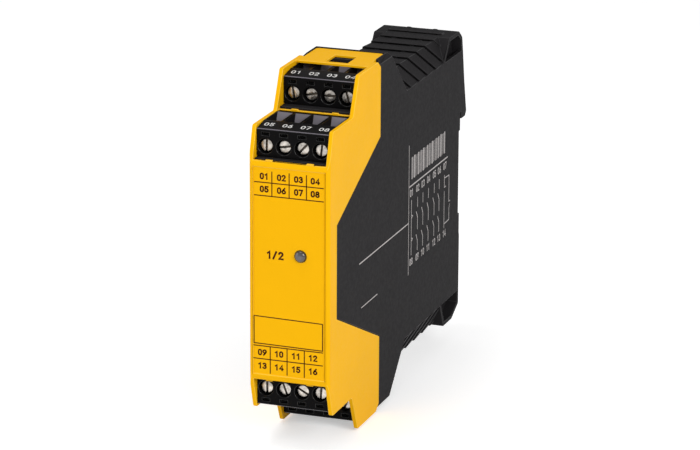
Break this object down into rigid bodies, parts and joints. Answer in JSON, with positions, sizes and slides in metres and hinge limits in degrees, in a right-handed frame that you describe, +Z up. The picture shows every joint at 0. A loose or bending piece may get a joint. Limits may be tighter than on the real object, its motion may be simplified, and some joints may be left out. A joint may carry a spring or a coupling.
{
  "type": "safety relay",
  "caption": "Slim rail-mount safety relay: black louvred housing, yellow front with a status light, and pluggable screw terminal blocks stepped at the top and bottom.",
  "frame": {"origin": "middle of the seat that lies against the mounting rail, at half the width and half the height", "axes": "+X to the right seen from the front, +Y from the front face back to the rail, +Z up"},
  "size_m": [0.0226, 0.1152, 0.099],
  "materials": {
    "housing": "fine matt grain",
    "cover": "fine matt grain",
    "terminal_plastic": "semi-matt",
    "screw_steel": "zinc-plated",
    "clamp_steel": "nickel-plated",
    "contact_metal": "tinned",
    "spring_steel": "bright",
    "board": "solder mask",
    "relay_case": "smooth",
    "can": "satin",
    "led_lens": "clear smoked",
    "led_holder": "plain"
  },
  "bodies": {
    "base": {"housing": "housing", "front_cover": "cover", "circuit_board": "board", "relay_1": "relay_case", "relay_2": "relay_case", "capacitor_upper": "can", "capacitor_lower": "can", "status_led": "led_lens", "led_holder": "led_holder", "catch_spring": "spring_steel", "header_top_front": "terminal_plastic", "header_pins_top_front": "contact_metal", "header_top_rear": "terminal_plastic", "header_pins_top_rear": "contact_metal", "header_bottom_front": "terminal_plastic", "header_pins_bottom_front": "contact_metal", "header_bottom_rear": "terminal_plastic", "header_pins_bottom_rear": "contact_metal"},
    "plug_top_front": {"plug_top_front": "terminal_plastic", "contacts_top_front": "contact_metal"},
    "screw_top_front_1": {"clamp_screw_top_front_1": "screw_steel"},
    "clamp_top_front_1": {"wire_clamp_top_front_1": "clamp_steel"},
    "screw_top_front_2": {"clamp_screw_top_front_2": "screw_steel"},
    "clamp_top_front_2": {"wire_clamp_top_front_2": "clamp_steel"},
    "screw_top_front_3": {"clamp_screw_top_front_3": "screw_steel"},
    "clamp_top_front_3": {"wire_clamp_top_front_3": "clamp_steel"},
    "screw_top_front_4": {"clamp_screw_top_front_4": "screw_steel"},
    "clamp_top_front_4": {"wire_clamp_top_front_4": "clamp_steel"},
    "plug_top_rear": {"plug_top_rear": "terminal_plastic", "contacts_top_rear": "contact_metal"},
    "screw_top_rear_1": {"clamp_screw_top_rear_1": "screw_steel"},
    "clamp_top_rear_1": {"wire_clamp_top_rear_1": "clamp_steel"},
    "screw_top_rear_2": {"clamp_screw_top_rear_2": "screw_steel"},
    "clamp_top_rear_2": {"wire_clamp_top_rear_2": "clamp_steel"},
    "screw_top_rear_3": {"clamp_screw_top_rear_3": "screw_steel"},
    "clamp_top_rear_3": {"wire_clamp_top_rear_3": "clamp_steel"},
    "screw_top_rear_4": {"clamp_screw_top_rear_4": "screw_steel"},
    "clamp_top_rear_4": {"wire_clamp_top_rear_4": "clamp_steel"},
    "plug_bottom_front": {"plug_bottom_front": "terminal_plastic", "contacts_bottom_front": "contact_metal"},
    "screw_bottom_front_1": {"clamp_screw_bottom_front_1": "screw_steel"},
    "clamp_bottom_front_1": {"wire_clamp_bottom_front_1": "clamp_steel"},
    "screw_bottom_front_2": {"clamp_screw_bottom_front_2": "screw_steel"},
    "clamp_bottom_front_2": {"wire_clamp_bottom_front_2": "clamp_steel"},
    "screw_bottom_front_3": {"clamp_screw_bottom_front_3": "screw_steel"},
    "clamp_bottom_front_3": {"wire_clamp_bottom_front_3": "clamp_steel"},
    "screw_bottom_front_4": {"clamp_screw_bottom_front_4": "screw_steel"},
    "clamp_bottom_front_4": {"wire_clamp_bottom_front_4": "clamp_steel"},
    "plug_bottom_rear": {"plug_bottom_rear": "terminal_plastic", "contacts_bottom_rear": "contact_metal"},
    "screw_bottom_rear_1": {"clamp_screw_bottom_rear_1": "screw_steel"},
    "clamp_bottom_rear_1": {"wire_clamp_bottom_rear_1": "clamp_steel"},
    "screw_bottom_rear_2": {"clamp_screw_bottom_rear_2": "screw_steel"},
    "clamp_bottom_rear_2": {"wire_clamp_bottom_rear_2": "clamp_steel"},
    "screw_bottom_rear_3": {"clamp_screw_bottom_rear_3": "screw_steel"},
    "clamp_bottom_rear_3": {"wire_clamp_bottom_rear_3": "clamp_steel"},
    "screw_bottom_rear_4": {"clamp_screw_bottom_rear_4": "screw_steel"},
    "clamp_bottom_rear_4": {"wire_clamp_bottom_rear_4": "clamp_steel"},
    "catch": {"rail_catch": "housing"}
  },
  "joints": [
    {"name": "pull_top_front", "type": "slide", "parent": "base", "child": "plug_top_front", "axis": [0, -1, 0], "range_m": [0, 0.026]},
    {"name": "turn_top_front_1", "type": "hinge", "parent": "plug_top_front", "child": "screw_top_front_1", "pos_m": [-0.00762, -0.1049, 0.03335], "axis": [0, 1, 0], "range_deg": [0, 1800]},
    {"name": "lift_top_front_1", "type": "slide", "parent": "plug_top_front", "child": "clamp_top_front_1", "axis": [0, -1, 0], "range_m": [0, 0.0025]},
    {"name": "turn_top_front_2", "type": "hinge", "parent": "plug_top_front", "child": "screw_top_front_2", "pos_m": [-0.00254, -0.1049, 0.03335], "axis": [0, 1, 0], "range_deg": [0, 1800]},
    {"name": "lift_top_front_2", "type": "slide", "parent": "plug_top_front", "child": "clamp_top_front_2", "axis": [0, -1, 0], "range_m": [0, 0.0025]},
    {"name": "turn_top_front_3", "type": "hinge", "parent": "plug_top_front", "child": "screw_top_front_3", "pos_m": [0.00254, -0.1049, 0.03335], "axis": [0, 1, 0], "range_deg": [0, 1800]},
    {"name": "lift_top_front_3", "type": "slide", "parent": "plug_top_front", "child": "clamp_top_front_3", "axis": [0, -1, 0], "range_m": [0, 0.0025]},
    {"name": "turn_top_front_4", "type": "hinge", "parent": "plug_top_front", "child": "screw_top_front_4", "pos_m": [0.00762, -0.1049, 0.03335], "axis": [0, 1, 0], "range_deg": [0, 1800]},
    {"name": "lift_top_front_4", "type": "slide", "parent": "plug_top_front", "child": "clamp_top_front_4", "axis": [0, -1, 0], "range_m": [0, 0.0025]},
    {"name": "pull_top_rear", "type": "slide", "parent": "base", "child": "plug_top_rear", "axis": [0, -1, 0], "range_m": [0, 0.046]},
    {"name": "turn_top_rear_1", "type": "hinge", "parent": "plug_top_rear", "child": "screw_top_rear_1", "pos_m": [-0.00762, -0.085, 0.0426], "axis": [0, 1, 0], "range_deg": [0, 1800]},
    {"name": "lift_top_rear_1", "type": "slide", "parent": "plug_top_rear", "child": "clamp_top_rear_1", "axis": [0, -1, 0], "range_m": [0, 0.0025]},
    {"name": "turn_top_rear_2", "type": "hinge", "parent": "plug_top_rear", "child": "screw_top_rear_2", "pos_m": [-0.00254, -0.085, 0.0426], "axis": [0, 1, 0], "range_deg": [0, 1800]},
    {"name": "lift_top_rear_2", "type": "slide", "parent": "plug_top_rear", "child": "clamp_top_rear_2", "axis": [0, -1, 0], "range_m": [0, 0.0025]},
    {"name": "turn_top_rear_3", "type": "hinge", "parent": "plug_top_rear", "child": "screw_top_rear_3", "pos_m": [0.00254, -0.085, 0.0426], "axis": [0, 1, 0], "range_deg": [0, 1800]},
    {"name": "lift_top_rear_3", "type": "slide", "parent": "plug_top_rear", "child": "clamp_top_rear_3", "axis": [0, -1, 0], "range_m": [0, 0.0025]},
    {"name": "turn_top_rear_4", "type": "hinge", "parent": "plug_top_rear", "child": "screw_top_rear_4", "pos_m": [0.00762, -0.085, 0.0426], "axis": [0, 1, 0], "range_deg": [0, 1800]},
    {"name": "lift_top_rear_4", "type": "slide", "parent": "plug_top_rear", "child": "clamp_top_rear_4", "axis": [0, -1, 0], "range_m": [0, 0.0025]},
    {"name": "pull_bottom_front", "type": "slide", "parent": "base", "child": "plug_bottom_front", "axis": [0, -1, 0], "range_m": [0, 0.026]},
    {"name": "turn_bottom_front_1", "type": "hinge", "parent": "plug_bottom_front", "child": "screw_bottom_front_1", "pos_m": [-0.00762, -0.1049, -0.03335], "axis": [0, 1, 0], "range_deg": [0, 1800]},
    {"name": "lift_bottom_front_1", "type": "slide", "parent": "plug_bottom_front", "child": "clamp_bottom_front_1", "axis": [0, -1, 0], "range_m": [0, 0.0025]},
    {"name": "turn_bottom_front_2", "type": "hinge", "parent": "plug_bottom_front", "child": "screw_bottom_front_2", "pos_m": [-0.00254, -0.1049, -0.03335], "axis": [0, 1, 0], "range_deg": [0, 1800]},
    {"name": "lift_bottom_front_2", "type": "slide", "parent": "plug_bottom_front", "child": "clamp_bottom_front_2", "axis": [0, -1, 0], "range_m": [0, 0.0025]},
    {"name": "turn_bottom_front_3", "type": "hinge", "parent": "plug_bottom_front", "child": "screw_bottom_front_3", "pos_m": [0.00254, -0.1049, -0.03335], "axis": [0, 1, 0], "range_deg": [0, 1800]},
    {"name": "lift_bottom_front_3", "type": "slide", "parent": "plug_bottom_front", "child": "clamp_bottom_front_3", "axis": [0, -1, 0], "range_m": [0, 0.0025]},
    {"name": "turn_bottom_front_4", "type": "hinge", "parent": "plug_bottom_front", "child": "screw_bottom_front_4", "pos_m": [0.00762, -0.1049, -0.03335], "axis": [0, 1, 0], "range_deg": [0, 1800]},
    {"name": "lift_bottom_front_4", "type": "slide", "parent": "plug_bottom_front", "child": "clamp_bottom_front_4", "axis": [0, -1, 0], "range_m": [0, 0.0025]},
    {"name": "pull_bottom_rear", "type": "slide", "parent": "base", "child": "plug_bottom_rear", "axis": [0, -1, 0], "range_m": [0, 0.046]},
    {"name": "turn_bottom_rear_1", "type": "hinge", "parent": "plug_bottom_rear", "child": "screw_bottom_rear_1", "pos_m": [-0.00762, -0.085, -0.0426], "axis": [0, 1, 0], "range_deg": [0, 1800]},
    {"name": "lift_bottom_rear_1", "type": "slide", "parent": "plug_bottom_rear", "child": "clamp_bottom_rear_1", "axis": [0, -1, 0], "range_m": [0, 0.0025]},
    {"name": "turn_bottom_rear_2", "type": "hinge", "parent": "plug_bottom_rear", "child": "screw_bottom_rear_2", "pos_m": [-0.00254, -0.085, -0.0426], "axis": [0, 1, 0], "range_deg": [0, 1800]},
    {"name": "lift_bottom_rear_2", "type": "slide", "parent": "plug_bottom_rear", "child": "clamp_bottom_rear_2", "axis": [0, -1, 0], "range_m": [0, 0.0025]},
    {"name": "turn_bottom_rear_3", "type": "hinge", "parent": "plug_bottom_rear", "child": "screw_bottom_rear_3", "pos_m": [0.00254, -0.085, -0.0426], "axis": [0, 1, 0], "range_deg": [0, 1800]},
    {"name": "lift_bottom_rear_3", "type": "slide", "parent": "plug_bottom_rear", "child": "clamp_bottom_rear_3", "axis": [0, -1, 0], "range_m": [0, 0.0025]},
    {"name": "turn_bottom_rear_4", "type": "hinge", "parent": "plug_bottom_rear", "child": "screw_bottom_rear_4", "pos_m": [0.00762, -0.085, -0.0426], "axis": [0, 1, 0], "range_deg": [0, 1800]},
    {"name": "lift_bottom_rear_4", "type": "slide", "parent": "plug_bottom_rear", "child": "clamp_bottom_rear_4", "axis": [0, -1, 0], "range_m": [0, 0.0025]},
    {"name": "catch_pull", "type": "slide", "parent": "base", "child": "catch", "axis": [0, 0, -1], "range_m": [0, 0.003], "stiffness_N_per_m": 1500, "springref_m": -0.002, "deforming": ["catch_spring"]}
  ],
  "couplings": [
    {"joint": "turn_top_front_1", "follows": "lift_top_front_1", "rad_per_m": 12566},
    {"joint": "turn_top_front_2", "follows": "lift_top_front_2", "rad_per_m": 12566},
    {"joint": "turn_top_front_3", "follows": "lift_top_front_3", "rad_per_m": 12566},
    {"joint": "turn_top_front_4", "follows": "lift_top_front_4", "rad_per_m": 12566},
    {"joint": "turn_top_rear_1", "follows": "lift_top_rear_1", "rad_per_m": 12566},
    {"joint": "turn_top_rear_2", "follows": "lift_top_rear_2", "rad_per_m": 12566},
    {"joint": "turn_top_rear_3", "follows": "lift_top_rear_3", "rad_per_m": 12566},
    {"joint": "turn_top_rear_4", "follows": "lift_top_rear_4", "rad_per_m": 12566},
    {"joint": "turn_bottom_front_1", "follows": "lift_bottom_front_1", "rad_per_m": 12566},
    {"joint": "turn_bottom_front_2", "follows": "lift_bottom_front_2", "rad_per_m": 12566},
    {"joint": "turn_bottom_front_3", "follows": "lift_bottom_front_3", "rad_per_m": 12566},
    {"joint": "turn_bottom_front_4", "follows": "lift_bottom_front_4", "rad_per_m": 12566},
    {"joint": "turn_bottom_rear_1", "follows": "lift_bottom_rear_1", "rad_per_m": 12566},
    {"joint": "turn_bottom_rear_2", "follows": "lift_bottom_rear_2", "rad_per_m": 12566},
    {"joint": "turn_bottom_rear_3", "follows": "lift_bottom_rear_3", "rad_per_m": 12566},
    {"joint": "turn_bottom_rear_4", "follows": "lift_bottom_rear_4", "rad_per_m": 12566}
  ]
}
